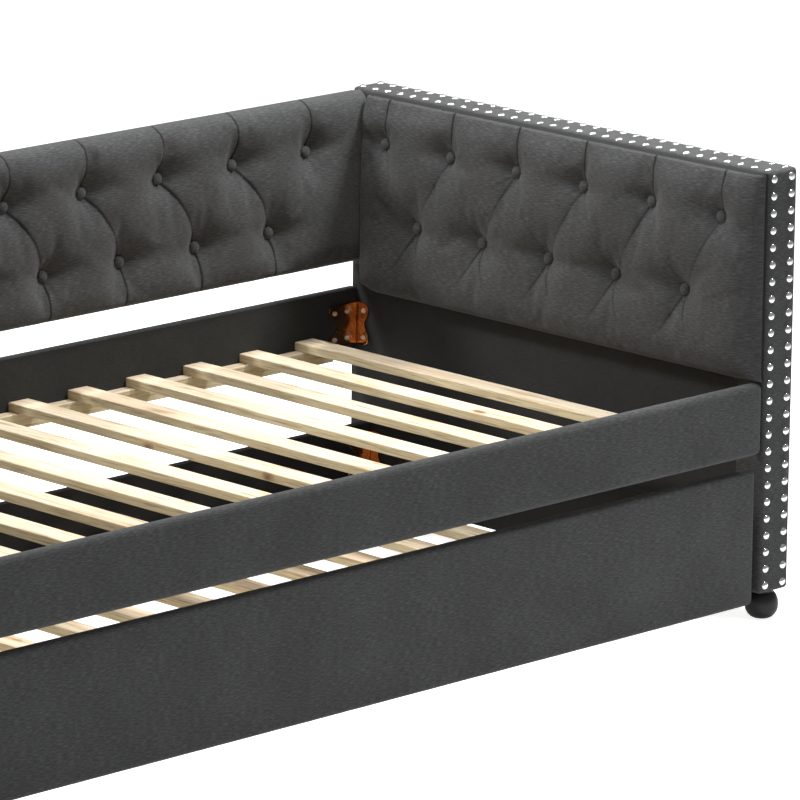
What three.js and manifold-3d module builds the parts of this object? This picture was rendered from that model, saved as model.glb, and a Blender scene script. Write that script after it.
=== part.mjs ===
// An upholstered daybed with a trundle that rolls out at the front, in millimetres.
// +X runs along the bed, +Y towards its back and +Z up. The origin is on the floor, under the middle.
import * as THREE from 'three';
import { mergeVertices } from 'three/addons/utils/BufferGeometryUtils.js';
import Module from 'manifold-3d';

const wasm = await Module();
wasm.setup();

// Overall sizes
const FIT = 0.3; // gap between two pieces that touch
const DEPTH = 1080; // front to back, over the arms
const HEIGHT = 841; // floor to the top of the arms
const FOOT_HEIGHT = 54;
const ARM_INSIDE = 1007; // half the clear length between the arms
const ARM_THICKNESS = 77;
const NAIL_CROWN = 4; // how far a nail head stands off its border
const FRONT = -(DEPTH - NAIL_CROWN) / 2; // face of the front rail and of the arms' borders
const BACK = FRONT + DEPTH;

// Arms
const BORDER_THICKNESS = 1.2;
const BORDER_SET_IN = 2; // from the arm's two side faces
const NAIL_RADIUS = 7;
const NAIL_ROWS = [16, 64]; // across the arm, from its inside face
const NAILS_UP_THE_FRONT = 25;
const NAILS_ALONG_THE_TOP = 32;
const NAIL_MARGIN = 15;
const ARM_PAD_THICKNESS = 44;
const ARM_PAD_SET_BACK = 3; // behind the arm's front border
const PAD_EDGE = 12; // rounding of a pad's edges
const PANEL_EDGE = 5; // rounding of an upholstered panel's edges
const PAD_TOP_DROP = 3; // pads end just under the arms' top faces

// Back
const BACK_PANEL_THICKNESS = 20.7;
const BACK_PANEL_BOTTOM = 507;
const BACK_PAD_THICKNESS = 37;

// Rails, cleats and slats of the daybed
const FRONT_RAIL_THICKNESS = 28;
const FRONT_RAIL_EDGE = 7; // rounding of its padded edges
const BACK_RAIL_THICKNESS = 18;
const RAIL_BOTTOM = 317;
const RAIL_TOP = 452;
const ARM_PAD_BOTTOM = RAIL_TOP + FIT; // an arm pad stands on the front rail's end
const SLAT_COUNT = 13;
const SLAT_WIDTH = 49;
const SLAT_THICKNESS = 17;
const SLAT_EASING = 2; // rounding of a slat's long edges
const SLAT_PITCH = 144.5;
const SLAT_TOP = 368;
const CLEAT_DEPTH = 25;
const CLEAT_HEIGHT = 30;
const CLEAT_HALF_LENGTH = 920;

// Corner brackets
const BRACKET_BOTTOM = 340;
const BRACKET_HEIGHT = 84;
const BRACKET_STOCK = 3;
const BRACKET_ARM_FLANGE = 34;
const BRACKET_RAIL_FLANGE = 78;
const BRACKET_END_ROUNDING = 13;
const BRACKET_WAIST = 14; // height of the narrow part in the middle
const BRACKET_WAIST_SHARE = 0.72; // its width, as a share of the flange's

// Feet
const FOOT_RADIUS = 31;
const FOOT_SET_IN = 30; // from the arm's front and back faces

// Trundle
const TRUNDLE_HALF_LENGTH = 994;
const TRUNDLE_FRONT_SET_IN = 2;
const TRUNDLE_DEPTH = 1001;
const TRUNDLE_PANEL_THICKNESS = 24;
const TRUNDLE_PANEL_BOTTOM = 36;
const TRUNDLE_PANEL_TOP = 292;
const BOARD_THICKNESS = 18;
const BOARD_BOTTOM = 55;
const BOARD_TOP = 204;
const BOARD_HALF_LENGTH = 989;
const TRUNDLE_BACK = FRONT + TRUNDLE_FRONT_SET_IN + TRUNDLE_DEPTH;
const TRUNDLE_SLAT_PITCH = 140.6;
const TRUNDLE_SLAT_TOP = 90;
const TRUNDLE_CLEAT_HEIGHT = 25;

// Casters
const WHEEL_RADIUS = 22.5;
const WHEEL_WIDTH = 20;
const WHEEL_EDGE = 3; // chamfer at the wheel's rim
const WHEEL_BORE_RADIUS = 3.4;
const AXLE_RADIUS = 3;
const CASTER_STOCK = 3;
const CASTER_INSIDE_WIDTH = 24;
const CASTER_TOP = 86;
const CASTER_WEB = 50; // top of the web between the two cheeks
const CASTER_HALF_DEPTH = 22;
const CASTER_END_RADIUS = 9;
const FRONT_CASTERS = 120; // axle line, from the bed's front face
const REAR_CASTERS = 890;

const FABRIC = { color: 0x3b3c3f, roughness: 0.95, metalness: 0 };
const NAIL = { color: 0xc9cacc, roughness: 0.2, metalness: 1 };
const PINE = { color: 0xe8cf9e, roughness: 0.6, metalness: 0 };
const DARK_BOARD = { color: 0x1c1c1e, roughness: 0.8, metalness: 0 };
const BRONZE = { color: 0x8a4424, roughness: 0.4, metalness: 0.6 };
const BLACK_LACQUER = { color: 0x141414, roughness: 0.3, metalness: 0 };
const STEEL = { color: 0x8d8f92, roughness: 0.4, metalness: 1 };
const TREAD = { color: 0x222224, roughness: 0.6, metalness: 0 };

const AXES = [new THREE.Vector3(1, 0, 0), new THREE.Vector3(0, 1, 0), new THREE.Vector3(0, 0, 1)];
const X = 0;
const Y = 1;
const Z = 2;

const bed = new THREE.Group();

function addPiece(name, geometry, finish) {
  const piece = new THREE.Mesh(geometry, new THREE.MeshStandardMaterial(finish));
  piece.name = name;
  bed.add(piece);
}

// Turns a shape drawn in its own XY plane and extruded along its Z to lie along one of the bed's axes.
function turnAlong(geometry, axis) {
  const turn = new THREE.Matrix4();
  turn.makeBasis(AXES[(axis + 1) % 3], AXES[(axis + 2) % 3], AXES[axis]);
  return geometry.applyMatrix4(turn);
}

function roundedRectangle(left, low, right, high, radius) {
  const outline = new THREE.Shape();
  outline.moveTo(left + radius, low);
  outline.absarc(right - radius, low + radius, radius, -Math.PI / 2, 0);
  outline.absarc(right - radius, high - radius, radius, 0, Math.PI / 2);
  outline.absarc(left + radius, high - radius, radius, Math.PI / 2, Math.PI);
  outline.absarc(left + radius, low + radius, radius, Math.PI, Math.PI * 1.5);
  outline.closePath();
  return outline;
}

// A bar between two corners of its box, with its four long edges rounded.
function bar(axis, low, high, radius) {
  const u = (axis + 1) % 3;
  const v = (axis + 2) % 3;
  const section = roundedRectangle(low[u], low[v], high[u], high[v], radius);
  const length = high[axis] - low[axis];
  const geometry = new THREE.ExtrudeGeometry(section,
    { depth: length, bevelEnabled: false, curveSegments: 1 });
  geometry.translate(0, 0, low[axis]);
  return turnAlong(geometry, axis);
}

// A panel or pad between two corners of its box, with every edge rounded.
function softSlab(low, high, radius) {
  const outline = roundedRectangle(low[X], low[Y], high[X], high[Y], radius);
  const inset = radius * 0.99; // a full radius would draw each end's corners into one point
  const geometry = new THREE.ExtrudeGeometry(outline, {
    depth: high[Z] - low[Z] - 2 * radius,
    bevelThickness: radius,
    bevelSize: inset,
    bevelOffset: -inset,
    bevelSegments: 2,
    curveSegments: 1,
  });
  return geometry.translate(0, 0, low[Z] + radius);
}

function toSolid(geometry) {
  const bare = geometry.clone();
  bare.deleteAttribute('normal');
  bare.deleteAttribute('uv');
  const merged = mergeVertices(bare);
  return new wasm.Manifold(new wasm.Mesh({
    numProp: 3,
    vertProperties: new Float32Array(merged.attributes.position.array),
    triVerts: new Uint32Array(merged.index.array),
  }));
}

function toGeometry(solid) {
  const mesh = solid.getMesh();
  const geometry = new THREE.BufferGeometry();
  geometry.setAttribute('position', new THREE.BufferAttribute(new Float32Array(mesh.vertProperties), 3));
  geometry.setIndex(new THREE.BufferAttribute(new Uint32Array(mesh.triVerts), 1));
  return geometry;
}

function join(geometries) {
  let solid = toSolid(geometries[0]);
  for (const geometry of geometries.slice(1)) {
    solid = solid.add(toSolid(geometry));
  }
  return toGeometry(solid);
}

// A mirror image across the bed's middle, with its faces turned back outwards.
function mirrored(geometry) {
  const image = geometry.clone().applyMatrix4(new THREE.Matrix4().makeScale(-1, 1, 1));
  const index = image.index ?? new THREE.BufferAttribute(
    Uint32Array.from({ length: image.attributes.position.count }, (_, i) => i), 1);
  const turned = new Uint32Array(index.count);
  for (let i = 0; i < index.count; i += 3) {
    turned[i] = index.getX(i);
    turned[i + 1] = index.getX(i + 2);
    turned[i + 2] = index.getX(i + 1);
  }
  image.setIndex(new THREE.BufferAttribute(turned, 1));
  return image;
}

function addPair(nameOf, geometry, finish) {
  addPiece(nameOf('right'), geometry, finish);
  addPiece(nameOf('left'), mirrored(geometry), finish);
}

function arm() {
  const set = BORDER_THICKNESS + FIT;
  return softSlab([ARM_INSIDE, FRONT + set, FOOT_HEIGHT],
    [ARM_INSIDE + ARM_THICKNESS, BACK, HEIGHT - set], PANEL_EDGE);
}

// A nail head: a low six-sided dome standing on its border, with its rim sunk into it.
function nailHead(along) {
  const sunk = BORDER_THICKNESS / 2;
  const dome = new THREE.ConeGeometry(NAIL_RADIUS, NAIL_CROWN + sunk, 6);
  dome.translate(0, (NAIL_CROWN - sunk) / 2, 0);
  dome.rotateX(along === Z ? Math.PI / 2 : Math.PI);
  return dome;
}

// The border over an arm's top and front edge, with two rows of nail heads along both.
function armBorder() {
  const outline = new THREE.Shape();
  outline.moveTo(FRONT, FOOT_HEIGHT);
  outline.lineTo(FRONT + BORDER_THICKNESS, FOOT_HEIGHT);
  outline.lineTo(FRONT + BORDER_THICKNESS, HEIGHT - BORDER_THICKNESS);
  outline.lineTo(BACK, HEIGHT - BORDER_THICKNESS);
  outline.lineTo(BACK, HEIGHT);
  outline.lineTo(FRONT, HEIGHT);
  outline.closePath();
  const width = ARM_THICKNESS - 2 * BORDER_SET_IN;
  const band = new THREE.ExtrudeGeometry(outline, { depth: width, bevelEnabled: false });
  band.translate(0, 0, ARM_INSIDE + BORDER_SET_IN);
  const pieces = [turnAlong(band, X)];
  const frontPitch = (HEIGHT - FOOT_HEIGHT - 2 * NAIL_MARGIN) / (NAILS_UP_THE_FRONT - 1);
  const topPitch = (DEPTH - 2 * NAIL_MARGIN) / (NAILS_ALONG_THE_TOP - 1);
  for (const row of NAIL_ROWS) {
    for (let i = 0; i < NAILS_UP_THE_FRONT; i += 1) {
      const height = FOOT_HEIGHT + NAIL_MARGIN + i * frontPitch;
      pieces.push(nailHead(Y).translate(ARM_INSIDE + row, FRONT, height));
    }
    for (let i = 0; i < NAILS_ALONG_THE_TOP; i += 1) {
      const place = FRONT + NAIL_MARGIN + i * topPitch;
      pieces.push(nailHead(Z).translate(ARM_INSIDE + row, place, HEIGHT));
    }
  }
  return join(pieces);
}

function armPad() {
  const rear = BACK - BACK_PANEL_THICKNESS - BACK_PAD_THICKNESS - 2 * FIT;
  return softSlab([ARM_INSIDE - FIT - ARM_PAD_THICKNESS, FRONT + ARM_PAD_SET_BACK, ARM_PAD_BOTTOM],
    [ARM_INSIDE - FIT, rear, HEIGHT - PAD_TOP_DROP], PAD_EDGE);
}

function bunFoot() {
  const top = FOOT_HEIGHT - FIT;
  const profile = [
    new THREE.Vector2(0, 0),
    new THREE.Vector2(17, 0),
    new THREE.Vector2(26, 7),
    new THREE.Vector2(FOOT_RADIUS, 20),
    new THREE.Vector2(29, 33),
    new THREE.Vector2(22, 42),
    new THREE.Vector2(24, 48),
    new THREE.Vector2(24, top),
    new THREE.Vector2(0, top),
  ];
  return new THREE.LatheGeometry(profile, 14).rotateX(Math.PI / 2);
}

function addArms() {
  addPair((side) => `${side}_arm`, arm(), FABRIC);
  addPair((side) => `${side}_arm_border`, armBorder(), NAIL);
  addPair((side) => `${side}_arm_pad`, armPad(), FABRIC);
  const footX = ARM_INSIDE + ARM_THICKNESS / 2;
  const feet = { front: FRONT + FOOT_SET_IN, rear: BACK - FOOT_SET_IN };
  for (const [end, y] of Object.entries(feet)) {
    addPair((side) => `${side}_${end}_foot`, bunFoot().translate(footX, y, 0), BLACK_LACQUER);
  }
}

function addBack() {
  const halfLength = ARM_INSIDE - FIT;
  const panelFront = BACK - BACK_PANEL_THICKNESS;
  const padBack = panelFront - FIT;
  addPiece('back_panel', softSlab([-halfLength, panelFront, BACK_PANEL_BOTTOM],
    [halfLength, BACK, HEIGHT], PANEL_EDGE), FABRIC);
  addPiece('back_pad', softSlab([-halfLength, padBack - BACK_PAD_THICKNESS, BACK_PANEL_BOTTOM],
    [halfLength, padBack, HEIGHT - PAD_TOP_DROP], PAD_EDGE), FABRIC);
}

function addSlats(nameOf, pitch, top, front, back) {
  for (let i = 0; i < SLAT_COUNT; i += 1) {
    const middle = (i - (SLAT_COUNT - 1) / 2) * pitch;
    const slat = bar(Y, [middle - SLAT_WIDTH / 2, front, top - SLAT_THICKNESS],
      [middle + SLAT_WIDTH / 2, back, top], SLAT_EASING);
    addPiece(nameOf(String(i + 1).padStart(2, '0')), slat, PINE);
  }
}

// The flange outline has wide rounded ends, where the screws are, and a narrower waist.
function bracketFlange(length) {
  const end = BRACKET_END_ROUNDING;
  const waist = length * BRACKET_WAIST_SHARE;
  const outline = new THREE.Shape();
  outline.moveTo(0, 0);
  outline.absarc(length - end, end, end, -Math.PI / 2, Math.PI / 4);
  outline.lineTo(waist, (BRACKET_HEIGHT - BRACKET_WAIST) / 2);
  outline.lineTo(waist, (BRACKET_HEIGHT + BRACKET_WAIST) / 2);
  outline.absarc(length - end, BRACKET_HEIGHT - end, end, -Math.PI / 4, Math.PI / 2);
  outline.lineTo(0, BRACKET_HEIGHT);
  outline.closePath();
  return new THREE.ExtrudeGeometry(outline,
    { depth: BRACKET_STOCK, bevelEnabled: false, curveSegments: 3 });
}

// An L bracket for the right end of a rail: one flange on the arm, one on the rail's inside face.
function cornerBracket(railFace, inward) {
  const armFace = ARM_INSIDE - FIT;
  const onArm = new THREE.Matrix4().makeBasis(
    AXES[Y].clone().multiplyScalar(inward), AXES[Z], AXES[X].clone().multiplyScalar(inward));
  const armFlange = bracketFlange(BRACKET_ARM_FLANGE).applyMatrix4(onArm);
  armFlange.translate(inward > 0 ? armFace - BRACKET_STOCK : armFace, railFace, BRACKET_BOTTOM);
  const onRail = new THREE.Matrix4().makeBasis(
    AXES[X].clone().multiplyScalar(-1), AXES[Z], AXES[Y]);
  const railFlange = bracketFlange(BRACKET_RAIL_FLANGE).applyMatrix4(onRail);
  railFlange.translate(armFace, inward > 0 ? railFace : railFace - BRACKET_STOCK, BRACKET_BOTTOM);
  return join([armFlange, railFlange]);
}

function addBedFrame() {
  const halfLength = ARM_INSIDE - FIT;
  const frontInside = FRONT + FRONT_RAIL_THICKNESS;
  const backInside = BACK - BACK_RAIL_THICKNESS;
  addPiece('front_rail', bar(X, [-halfLength, FRONT, RAIL_BOTTOM],
    [halfLength, frontInside, RAIL_TOP], FRONT_RAIL_EDGE), FABRIC);
  addPiece('back_rail', bar(X, [-halfLength, backInside, RAIL_BOTTOM],
    [halfLength, BACK, RAIL_TOP], PANEL_EDGE), FABRIC);
  const cleatTop = SLAT_TOP - SLAT_THICKNESS - FIT;
  const cleats = { front: frontInside + FIT, back: backInside - FIT - CLEAT_DEPTH };
  for (const [end, y] of Object.entries(cleats)) {
    addPiece(`${end}_cleat`, bar(X, [-CLEAT_HALF_LENGTH, y, cleatTop - CLEAT_HEIGHT],
      [CLEAT_HALF_LENGTH, y + CLEAT_DEPTH, cleatTop], SLAT_EASING), PINE);
  }
  addSlats((number) => `slat_${number}`, SLAT_PITCH, SLAT_TOP, frontInside + FIT, backInside - FIT);
  addPair((side) => `${side}_front_bracket`, cornerBracket(frontInside + FIT, 1), BRONZE);
  addPair((side) => `${side}_back_bracket`, cornerBracket(backInside - FIT, -1), BRONZE);
}

function addTrundleBox() {
  const front = FRONT + TRUNDLE_FRONT_SET_IN;
  const inside = front + TRUNDLE_PANEL_THICKNESS + FIT;
  const backInside = TRUNDLE_BACK - BOARD_THICKNESS;
  addPiece('trundle_front_panel', softSlab([-TRUNDLE_HALF_LENGTH, front, TRUNDLE_PANEL_BOTTOM],
    [TRUNDLE_HALF_LENGTH, front + TRUNDLE_PANEL_THICKNESS, TRUNDLE_PANEL_TOP], PANEL_EDGE), FABRIC);
  const boardFace = BOARD_HALF_LENGTH - BOARD_THICKNESS;
  addPair((side) => `trundle_${side}_board`, bar(Y, [boardFace, inside, BOARD_BOTTOM],
    [BOARD_HALF_LENGTH, backInside - FIT, BOARD_TOP], SLAT_EASING), DARK_BOARD);
  addPiece('trundle_back_board', bar(X, [-BOARD_HALF_LENGTH, backInside, BOARD_BOTTOM],
    [BOARD_HALF_LENGTH, TRUNDLE_BACK, BOARD_TOP], SLAT_EASING), DARK_BOARD);
  const cleatTop = TRUNDLE_SLAT_TOP - SLAT_THICKNESS - FIT;
  const cleats = { front: inside, back: backInside - FIT - CLEAT_DEPTH };
  const cleatHalfLength = boardFace - FIT;
  for (const [end, y] of Object.entries(cleats)) {
    addPiece(`trundle_${end}_cleat`, bar(X, [-cleatHalfLength, y, cleatTop - TRUNDLE_CLEAT_HEIGHT],
      [cleatHalfLength, y + CLEAT_DEPTH, cleatTop], SLAT_EASING), PINE);
  }
  addSlats((number) => `trundle_slat_${number}`, TRUNDLE_SLAT_PITCH, TRUNDLE_SLAT_TOP, inside,
    backInside - FIT);
}

// One cheek of a caster: square at its top, round at its bottom where it holds the axle.
function casterCheek(top) {
  const outline = new THREE.Shape();
  outline.moveTo(-CASTER_HALF_DEPTH, top);
  outline.lineTo(-CASTER_HALF_DEPTH, CASTER_WEB - 2 * CASTER_STOCK);
  outline.absarc(0, WHEEL_RADIUS, CASTER_END_RADIUS, Math.PI, 0);
  outline.lineTo(CASTER_HALF_DEPTH, CASTER_WEB - 2 * CASTER_STOCK);
  outline.lineTo(CASTER_HALF_DEPTH, top);
  outline.closePath();
  const sheet = { depth: CASTER_STOCK, bevelEnabled: false, curveSegments: 4 };
  const cheek = new THREE.ExtrudeGeometry(outline, sheet);
  return turnAlong(cheek, X);
}

// A fixed caster's bracket, on the inside face of the right side board, with its axle riveted in.
function casterBracket(outside) {
  const inside = outside - CASTER_INSIDE_WIDTH - 2 * CASTER_STOCK;
  const boardCheek = casterCheek(CASTER_TOP).translate(outside - CASTER_STOCK, 0, 0);
  const innerCheek = casterCheek(CASTER_WEB).translate(inside, 0, 0);
  const web = new THREE.BoxGeometry(outside - inside, 2 * CASTER_HALF_DEPTH, CASTER_STOCK);
  web.translate((outside + inside) / 2, 0, CASTER_WEB - CASTER_STOCK / 2);
  const axle = new THREE.CylinderGeometry(AXLE_RADIUS, AXLE_RADIUS, outside - inside, 12);
  axle.rotateZ(Math.PI / 2).translate((outside + inside) / 2, 0, WHEEL_RADIUS);
  return join([boardCheek, innerCheek, web, axle]);
}

function casterWheel() {
  const half = WHEEL_WIDTH / 2;
  const rim = WHEEL_RADIUS - WHEEL_EDGE;
  const profile = [
    new THREE.Vector2(WHEEL_BORE_RADIUS, -half),
    new THREE.Vector2(rim, -half),
    new THREE.Vector2(WHEEL_RADIUS, -half + WHEEL_EDGE),
    new THREE.Vector2(WHEEL_RADIUS, half - WHEEL_EDGE),
    new THREE.Vector2(rim, half),
    new THREE.Vector2(WHEEL_BORE_RADIUS, half),
    new THREE.Vector2(WHEEL_BORE_RADIUS, -half),
  ];
  return new THREE.LatheGeometry(profile, 20).rotateZ(-Math.PI / 2);
}

function addCasters() {
  const outside = BOARD_HALF_LENGTH - BOARD_THICKNESS - FIT;
  const wheelX = outside - CASTER_STOCK - CASTER_INSIDE_WIDTH / 2;
  const ends = { front: FRONT + FRONT_CASTERS, rear: FRONT + REAR_CASTERS };
  for (const [end, y] of Object.entries(ends)) {
    addPair((side) => `${side}_${end}_caster`, casterBracket(outside).translate(0, y, 0), STEEL);
    addPair((side) => `${side}_${end}_wheel`, casterWheel().translate(wheelX, y, WHEEL_RADIUS), TREAD);
  }
}

addArms();
addBack();
addBedFrame();
addTrundleBox();
addCasters();

export default bed;
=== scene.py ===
"""The looks of an upholstered daybed with a trundle that rolls out at the front.

Lengths are in metres. +X runs along the bed, +Y to its back and +Z up.
"""
import math
from collections import namedtuple

import bpy
import numpy as np
from mathutils import Euler, Matrix, Quaternion, Vector, noise


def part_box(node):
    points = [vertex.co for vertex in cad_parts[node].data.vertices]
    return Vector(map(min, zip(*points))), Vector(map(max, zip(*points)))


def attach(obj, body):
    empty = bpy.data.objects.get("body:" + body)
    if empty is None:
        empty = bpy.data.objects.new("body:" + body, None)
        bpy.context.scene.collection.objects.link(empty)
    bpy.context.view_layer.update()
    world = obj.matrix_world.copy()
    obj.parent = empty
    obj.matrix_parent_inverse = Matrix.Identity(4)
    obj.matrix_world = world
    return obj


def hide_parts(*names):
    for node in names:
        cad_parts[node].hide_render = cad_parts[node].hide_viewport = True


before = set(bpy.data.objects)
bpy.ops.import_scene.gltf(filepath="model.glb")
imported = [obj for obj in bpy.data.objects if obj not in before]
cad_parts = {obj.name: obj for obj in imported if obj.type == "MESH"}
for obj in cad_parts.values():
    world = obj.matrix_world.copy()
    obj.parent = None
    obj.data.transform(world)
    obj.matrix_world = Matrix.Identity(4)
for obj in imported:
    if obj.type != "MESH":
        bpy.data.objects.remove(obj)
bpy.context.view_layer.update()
SIDES = {"right": 1, "left": -1}
MM = 0.001

# -------- camera and studio

CAMERA_PLACE = (-7.589, -8.362, 3.251)
CAMERA_AZIMUTH = math.radians(44.44)  # turned from +Y towards +X
CAMERA_PITCH = math.radians(13.74)  # below the horizon
CAMERA_ROLL = math.radians(0.575)
CAMERA_LENS = 296.8
WHITE_LIGHT = (1, 1, 1, 1)
FLOOR_WHITE = (0.85, 0.85, 0.85, 1)
FLOOR_SIZE = 60
FLOOR_DROP = 0.0002  # keeps the floor just clear of the feet
AIR_LIGHT = 0.3
AIR_SEEN = 1.05
FLOOR_GLOW = 0.3
FLOOR_SEEN = 0.85  # glow towards the camera, which keeps the far floor white
SOFTBOXES = [  # name, place, target, width and watts
    ("right_key", (1.85, -0.62, 2.8), (0.4, 0.3, 0.6), 0.6, 88),
    ("rear_key", (-0.9, 1.7, 2.8), (0.9, 0, 0.6), 0.6, 84),
    ("overhead", (0.45, -0.05, 3.6), (0.45, -0.05, 0.4), 0.9, 88),
]


def set_camera():
    bpy.ops.object.camera_add(location=CAMERA_PLACE)
    camera = bpy.context.object
    camera.name = "camera"
    level_look = Euler((math.pi / 2 - CAMERA_PITCH, 0, -CAMERA_AZIMUTH)).to_quaternion()
    camera.rotation_mode = "QUATERNION"
    camera.rotation_quaternion = level_look @ Quaternion((0, 0, 1), CAMERA_ROLL)
    camera.data.sensor_width = 36
    camera.data.lens = CAMERA_LENS
    camera.data.clip_end = 60
    bpy.context.scene.camera = camera


def add_softbox(name, place, target, width, watts):
    """A round area light aimed at its target."""
    bpy.ops.object.light_add(type="AREA", location=place)
    lamp = bpy.context.object
    lamp.name = name
    lamp.rotation_euler = (Vector(target) - Vector(place)).to_track_quat("-Z", "Y").to_euler()
    lamp.data.shape = "DISK"
    lamp.data.size = width
    lamp.data.energy = watts


def glow_for_camera(tree, lighting, seen):
    """One strength for the light that falls on the bed and another for what the camera sees."""
    is_seen = add_node(tree, "LightPath").outputs["Is Camera Ray"]
    return ranged(tree, is_seen, 0.0, 1.0, lighting, seen)


def fill_air():
    world = bpy.data.worlds.new("studio_air")
    world.use_nodes = True
    tree = world.node_tree
    strength = glow_for_camera(tree, AIR_LIGHT, AIR_SEEN)
    feed(tree, tree.nodes["Background"], {"Color": WHITE_LIGHT, "Strength": strength})
    bpy.context.scene.world = world
    bpy.context.scene.view_settings.view_transform = "Standard"


def lay_floor():
    bpy.ops.mesh.primitive_plane_add(size=FLOOR_SIZE, location=(0, 0, -FLOOR_DROP))
    floor = bpy.context.object
    floor.name = "studio_floor"
    white, tree, surface = new_finish("lit_white_floor", Roughness=0.9)
    feed(tree, surface, {
        "Base Color": FLOOR_WHITE, "Emission Color": WHITE_LIGHT,
        "Emission Strength": glow_for_camera(tree, FLOOR_GLOW, FLOOR_SEEN)})
    floor.data.materials.append(white)


def build_studio():
    fill_air()
    lay_floor()
    for softbox in SOFTBOXES:
        add_softbox(*softbox)


# -------- modelling helpers

LONGEST_EDGE = 45 * MM
HALVINGS = 7
WELD_GAP = 0.02 * MM


def take_up(piece):
    bpy.ops.object.select_all(action="DESELECT")
    piece.select_set(True)
    bpy.context.view_layer.objects.active = piece


def rename(piece, name):
    piece.name = name
    piece.data.name = name
    return piece


def add_piece(name, mesh):
    piece = bpy.data.objects.new(name, mesh)
    bpy.context.collection.objects.link(piece)
    return piece


def settle(piece):
    take_up(piece)
    bpy.ops.object.transform_apply(location=True, rotation=True, scale=True)
    return piece


def finish_with(piece, kind, **settings):
    """Adds a modifier and applies it."""
    take_up(piece)
    modifier = piece.modifiers.new(kind.lower(), kind)
    for key, value in settings.items():
        setattr(modifier, key, value)
    bpy.ops.object.modifier_apply(modifier=modifier.name)


def edit(piece, *steps):
    """Runs edit-mode steps on the piece, on whatever is selected in it."""
    take_up(piece)
    bpy.ops.object.mode_set(mode="EDIT")
    for step in steps:
        step()
    bpy.ops.object.mode_set(mode="OBJECT")


def all_selected():
    bpy.ops.mesh.select_all(action="SELECT")


def select_nothing(piece, kind):
    """Clears the piece's selection, ready to select vertices, edges or faces."""
    edit(piece,
         lambda: bpy.ops.mesh.select_mode(type=kind),
         lambda: bpy.ops.mesh.select_all(action="DESELECT"))


def select_faces(piece, wanted):
    """Selects the faces whose middle and normal pass the test."""
    select_nothing(piece, "FACE")
    for face in piece.data.polygons:
        face.select = wanted(face.center, face.normal)


def turn_right_way_out(piece):
    edit(piece, all_selected, lambda: bpy.ops.mesh.normals_make_consistent(inside=False))


def inner_x(box, sign):
    """Where a box's side towards the bed's middle is."""
    return box[0].x if sign > 0 else box[1].x


def outer_x(box, sign):
    return inner_x(box, -sign)


def block(name, low, high, cuts=0):
    """A box between two corners, with its faces cut into a grid."""
    middle = (Vector(low) + Vector(high)) / 2
    bpy.ops.mesh.primitive_cube_add(size=1, location=middle)
    piece = rename(bpy.context.object, name)
    piece.scale = Vector(high) - Vector(low)
    settle(piece)
    if cuts:
        edit(piece, all_selected, lambda: bpy.ops.mesh.subdivide(number_cuts=cuts))
    return piece


def round_edges(piece, width, segments=5):
    finish_with(piece, "BEVEL", width=width, segments=segments, limit_method="ANGLE",
                angle_limit=math.radians(40), harden_normals=False)


def cut_long_edges(piece):
    """Halves the edges that are too long, again and again, so that wide faces become grids."""
    for _round in range(HALVINGS):
        mesh = piece.data
        ends = [[mesh.vertices[i].co for i in edge.vertices] for edge in mesh.edges]
        too_long = [i for i, (one, other) in enumerate(ends) if (one - other).length > LONGEST_EDGE]
        if not too_long:
            return
        select_nothing(piece, "EDGE")
        for i in too_long:
            piece.data.edges[i].select = True
        edit(piece, lambda: bpy.ops.mesh.subdivide(number_cuts=1))


def lay_cloth(piece):
    """Gives the piece a flat cloth map in metres, so that the weave keeps its size."""
    if not piece.data.uv_layers:
        piece.data.uv_layers.new(name="cloth")
    piece.data.uv_layers[0].name = "cloth"
    edit(piece, all_selected, lambda: bpy.ops.uv.cube_project(cube_size=1.0))


def dress(piece, finish, body, angle=40):
    """Gives the piece its finish, smooth shading and body."""
    if not piece.data.materials:
        piece.data.materials.append(finish)
    take_up(piece)
    bpy.ops.object.shade_smooth_by_angle(angle=math.radians(angle))
    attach(piece, body)
    return piece


def spread(name, master, places):
    """Copies of a small master at each (place, turn), joined into one piece; the master goes."""
    copies = []
    for place, turn in places:
        copy = add_piece(name, master.data.copy())
        copy.data.transform(turn.to_matrix().to_4x4())
        copy.data.transform(Matrix.Translation(Vector(place)))
        copies.append(copy)
    bpy.data.objects.remove(master)
    take_up(copies[0])
    for copy in copies:
        copy.select_set(True)
    bpy.ops.object.join()
    return rename(bpy.context.object, name)


def facing(direction):
    """The turn that points a master's +Z along the direction."""
    return Vector(direction).to_track_quat("Z", "Y")


def turned(name, profile, steps=32):
    """A shape turned about Z from (radius, height) points in millimetres."""
    mesh = bpy.data.meshes.new(name)
    points = [(radius * MM, 0, height * MM) for radius, height in profile]
    mesh.from_pydata(points, [(i, i + 1) for i in range(len(points) - 1)], [])
    piece = add_piece(name, mesh)
    edit(piece, all_selected,
         lambda: bpy.ops.mesh.spin(steps=steps, angle=2 * math.pi, center=(0, 0, 0),
                                   axis=(0, 0, 1)),
         all_selected,
         lambda: bpy.ops.mesh.remove_doubles(threshold=WELD_GAP),
         lambda: bpy.ops.mesh.normals_make_consistent(inside=False))
    return piece


# -------- shader groups

NUMBER = ("NodeSocketFloat", None)
COLOUR = ("NodeSocketColor", None)
PLACE = ("NodeSocketVector", None)
SURFACE = {"Color": COLOUR, "Roughness": NUMBER, "Height": NUMBER}
PINE_BLUSH = (0.74, 0.54, 0.38, 1)
PINE_DASH = (0.3, 0.19, 0.09, 1)
# colours of the sawn sides: the dark streaks are the wood's own, the darker base tone is painted shade
SAWN_SIDE_SHADED = (0.64, 0.54, 0.32, 1)
SAWN_DARK = (0.14, 0.1, 0.045, 1)


def feed(tree, node, inputs):
    """Links each input that is given a socket and sets the others."""
    for key, value in inputs.items():
        if isinstance(value, bpy.types.NodeSocket):
            tree.links.new(value, node.inputs[key])
        else:
            node.inputs[key].default_value = value


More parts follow.
